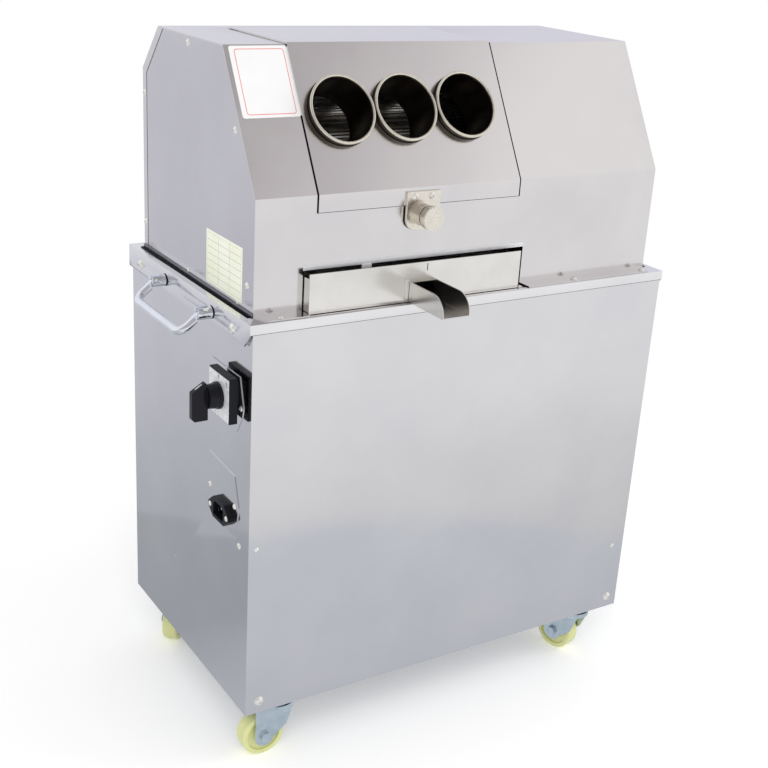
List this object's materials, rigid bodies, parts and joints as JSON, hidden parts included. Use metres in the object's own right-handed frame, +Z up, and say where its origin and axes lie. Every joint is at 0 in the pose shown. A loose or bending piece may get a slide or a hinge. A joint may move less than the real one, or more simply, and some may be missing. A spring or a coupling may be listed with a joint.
{
  "type": "electric sugarcane juicer",
  "caption": "Electric sugarcane juicer on casters: steel cabinet, hood over a roller mill, lid with feed tubes, juice drawer with spout, rear chute.",
  "frame": {"origin": "centre of the bounding box in X and Y, on the floor under the casters", "axes": "+Z up, +X to the right of a person facing the front, +Y to the back; the spout points along -Y"},
  "size_m": [0.6106, 0.401, 0.762],
  "materials": {
    "cabinet_steel": "polished stainless sheet",
    "hood_steel": "polished stainless sheet",
    "inner_steel": "mill finish",
    "tray_steel": "mill finish stainless",
    "cast_iron": "machined casting",
    "motor_paint": "satin enamel",
    "bronze": "turned",
    "roller_steel": "machined",
    "screw_steel": "bright",
    "chrome_bar": "bright",
    "latch_nickel": "satin nickel",
    "tube_cream": "glossy",
    "black_plastic": "matte",
    "knob_plastic": "semi gloss",
    "dial_silver": "satin",
    "pin_metal": "plated",
    "zinc_plate": "blue zinc plating",
    "wheel_nylon": "satin",
    "label_film": "printed film"
  },
  "bodies": {
    "cabinet": {"base_pan": "inner_steel", "frame_posts": "inner_steel", "deck": "cabinet_steel", "front_panel": "cabinet_steel", "left_panel": "cabinet_steel", "right_panel": "cabinet_steel", "rear_panel": "cabinet_steel", "hood_shell": "hood_steel", "hood_left_panel": "hood_steel", "hood_right_panel": "hood_steel", "hood_rear_cover": "hood_steel", "mill_plate_left": "cast_iron", "mill_plate_right": "cast_iron", "mill_tie_bars": "inner_steel", "roller_bushes": "bronze", "trash_plate": "roller_steel", "bagasse_chute": "inner_steel", "gearbox": "cast_iron", "drive_motor": "motor_paint", "electric_plates": "cabinet_steel", "switch_body": "black_plastic", "switch_dial": "dial_silver", "power_inlet": "black_plastic", "inlet_pins": "pin_metal", "cabinet_screws": "screw_steel", "hood_screws": "screw_steel", "electric_screws": "screw_steel", "handle_posts": "chrome_bar", "lid_hinge": "hood_steel", "caster_plates": "zinc_plate"},
    "lid": {"lid": "hood_steel", "lid_leaf": "hood_steel", "feed_tubes": "tube_cream", "hasp_plate": "latch_nickel", "hasp_screws": "screw_steel"},
    "latch_clip": {"latch_clip": "latch_nickel"},
    "latch_knob": {"latch_knob": "latch_nickel"},
    "juice_tray": {"juice_tray": "tray_steel"},
    "top_roller": {"top_roller": "roller_steel", "top_gear": "cast_iron", "shaft_coupling": "roller_steel"},
    "feed_roller": {"feed_roller": "roller_steel", "feed_gear": "cast_iron"},
    "discharge_roller": {"discharge_roller": "roller_steel", "discharge_gear": "cast_iron"},
    "switch_knob": {"switch_knob": "knob_plastic"},
    "handle_left": {"handle_left": "chrome_bar"},
    "handle_right": {"handle_right": "chrome_bar"},
    "caster_fork_fl": {"caster_fork_fl": "zinc_plate", "caster_axle_fl": "zinc_plate"},
    "caster_fork_fr": {"caster_fork_fr": "zinc_plate", "caster_axle_fr": "zinc_plate"},
    "caster_fork_bl": {"caster_fork_bl": "zinc_plate", "caster_axle_bl": "zinc_plate"},
    "caster_fork_br": {"caster_fork_br": "zinc_plate", "caster_axle_br": "zinc_plate"},
    "caster_wheel_fl": {"caster_wheel_fl": "wheel_nylon"},
    "caster_wheel_fr": {"caster_wheel_fr": "wheel_nylon"},
    "caster_wheel_bl": {"caster_wheel_bl": "wheel_nylon"},
    "caster_wheel_br": {"caster_wheel_br": "wheel_nylon"}
  },
  "joints": [
    {"name": "lid_hinge", "type": "hinge", "parent": "cabinet", "child": "lid", "pos_m": [-0.06187, 0.0812, 0.76], "axis": [-1, 0, 0], "range_deg": [0, 100]},
    {"name": "knob_draw", "type": "slide", "parent": "lid", "child": "latch_clip", "axis": [0, 1, 0], "range_m": [0, 0.00375]},
    {"name": "knob_turn", "type": "hinge", "parent": "latch_clip", "child": "latch_knob", "pos_m": [-0.06337, -0.1345, 0.60102], "axis": [0, 1, 0], "range_deg": [0, 1080]},
    {"name": "tray_slide", "type": "slide", "parent": "cabinet", "child": "juice_tray", "axis": [0, -1, 0], "range_m": [0, 0.19]},
    {"name": "top_roller_spin", "type": "hinge", "parent": "cabinet", "child": "top_roller", "pos_m": [-0.06187, 0.0173, 0.6825], "axis": [1, 0, 0], "continuous": true},
    {"name": "feed_roller_spin", "type": "hinge", "parent": "cabinet", "child": "feed_roller", "pos_m": [-0.06187, -0.0202, 0.61755], "axis": [1, 0, 0], "continuous": true},
    {"name": "discharge_roller_spin", "type": "hinge", "parent": "cabinet", "child": "discharge_roller", "pos_m": [-0.06187, 0.07033, 0.62947], "axis": [1, 0, 0], "continuous": true},
    {"name": "switch_turn", "type": "hinge", "parent": "cabinet", "child": "switch_knob", "pos_m": [-0.28287, -0.102, 0.428], "axis": [-1, 0, 0], "range_deg": [-60, 60]},
    {"name": "handle_left_swing", "type": "hinge", "parent": "cabinet", "child": "handle_left", "pos_m": [-0.27287, 0.0049, 0.499], "axis": [0, 1, 0], "range_deg": [-52, 38]},
    {"name": "handle_right_swing", "type": "hinge", "parent": "cabinet", "child": "handle_right", "pos_m": [0.27713, 0.0049, 0.499], "axis": [0, -1, 0], "range_deg": [-52, 38]},
    {"name": "swivel_fl", "type": "hinge", "parent": "cabinet", "child": "caster_fork_fl", "pos_m": [-0.21087, -0.1215, 0.058], "axis": [0, 0, 1], "continuous": true},
    {"name": "swivel_fr", "type": "hinge", "parent": "cabinet", "child": "caster_fork_fr", "pos_m": [0.21513, -0.1215, 0.058], "axis": [0, 0, 1], "continuous": true},
    {"name": "swivel_bl", "type": "hinge", "parent": "cabinet", "child": "caster_fork_bl", "pos_m": [-0.21087, 0.1475, 0.058], "axis": [0, 0, 1], "continuous": true},
    {"name": "swivel_br", "type": "hinge", "parent": "cabinet", "child": "caster_fork_br", "pos_m": [0.21513, 0.1475, 0.058], "axis": [0, 0, 1], "continuous": true},
    {"name": "wheel_spin_fl", "type": "hinge", "parent": "caster_fork_fl", "child": "caster_wheel_fl", "pos_m": [-0.22987, -0.1215, 0.025], "axis": [0, -1, 0], "continuous": true},
    {"name": "wheel_spin_fr", "type": "hinge", "parent": "caster_fork_fr", "child": "caster_wheel_fr", "pos_m": [0.21021, -0.10315, 0.025], "axis": [-0.9659, -0.2588, 0], "continuous": true},
    {"name": "wheel_spin_bl", "type": "hinge", "parent": "caster_fork_bl", "child": "caster_wheel_bl", "pos_m": [-0.22358, 0.13338, 0.025], "axis": [0.7431, -0.6691, 0], "continuous": true},
    {"name": "wheel_spin_br", "type": "hinge", "parent": "caster_fork_br", "child": "caster_wheel_br", "pos_m": [0.23158, 0.138, 0.025], "axis": [0.5, 0.866, 0], "continuous": true}
  ],
  "couplings": [
    {"joint": "knob_turn", "follows": "knob_draw", "rad_per_m": 5026.5},
    {"joint": "feed_roller_spin", "follows": "top_roller_spin", "ratio": -1},
    {"joint": "discharge_roller_spin", "follows": "top_roller_spin", "ratio": -1}
  ]
}
